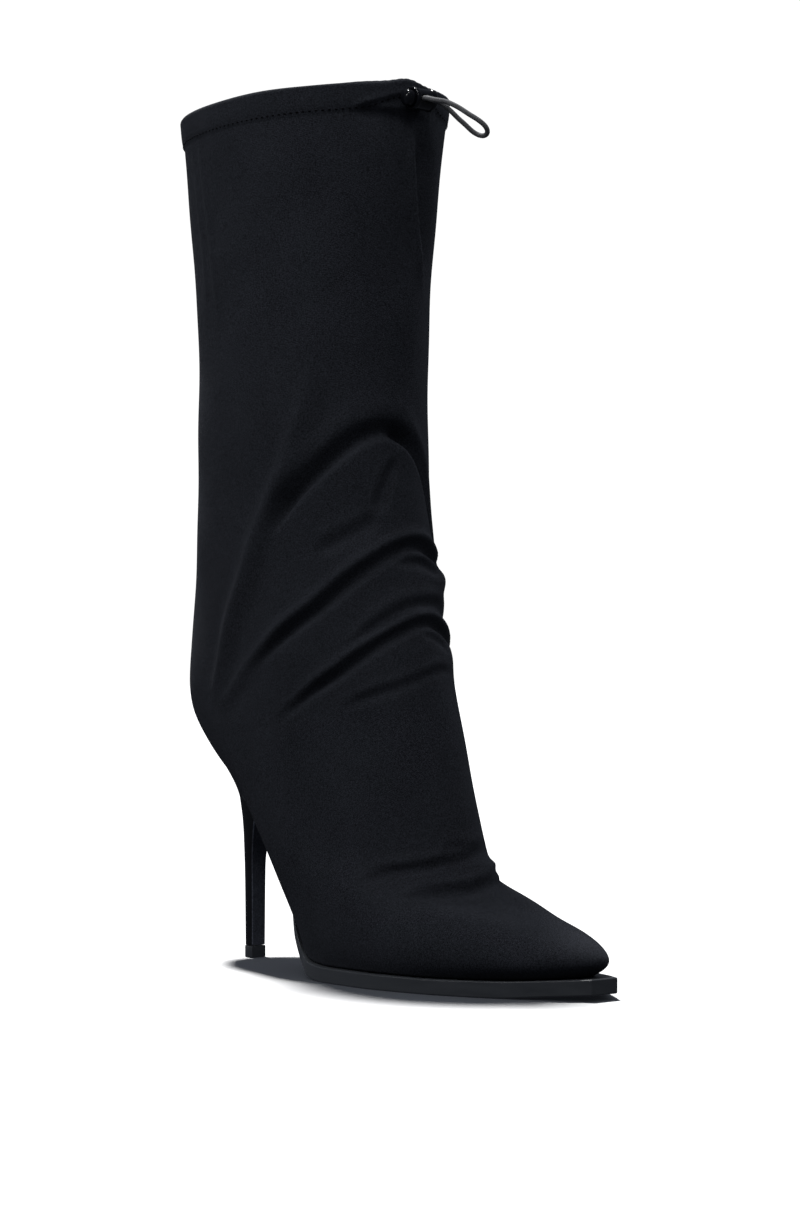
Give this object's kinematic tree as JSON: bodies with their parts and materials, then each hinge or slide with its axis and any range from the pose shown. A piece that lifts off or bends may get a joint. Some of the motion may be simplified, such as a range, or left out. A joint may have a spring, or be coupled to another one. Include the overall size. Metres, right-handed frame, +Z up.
{
  "type": "stiletto boot",
  "caption": "Pull-on fabric boot with a slouched mid-calf shaft, drawcord and cord lock at the collar, pointed toe, thin rubber sole and a slim covered stiletto heel",
  "frame": {"origin": "on the floor under the middle of the boot's bounding box, left to right and heel to toe", "axes": "+Z up along the shaft, -Y towards the toe, +X towards the medial side of a right foot"},
  "size_m": [0.0932, 0.2322, 0.3455],
  "materials": {
    "upper": "matte black fine-weave stretch fabric",
    "insole": "matte black lining",
    "outsole": "satin dark grey rubber",
    "heel": "covered in the upper's fabric",
    "heel_tip": "satin hard rubber",
    "cord_lock_body": "gloss black moulding",
    "cord_lock_plunger": "gloss black moulding",
    "drawcord_loop": "braided elastic cord"
  },
  "bodies": {
    "boot": {"upper": "upper", "insole": "insole", "outsole": "outsole", "heel": "heel", "heel_tip": "heel_tip", "cord_lock_body": "cord_lock_body", "drawcord_loop": "drawcord_loop"},
    "plunger": {"cord_lock_plunger": "cord_lock_plunger"}
  },
  "joints": [
    {"name": "plunger_press", "type": "slide", "parent": "boot", "child": "plunger", "axis": [1, 0, 0], "range_m": [0, 0.002], "stiffness_N_per_m": 600, "springref_m": -0.002}
  ]
}
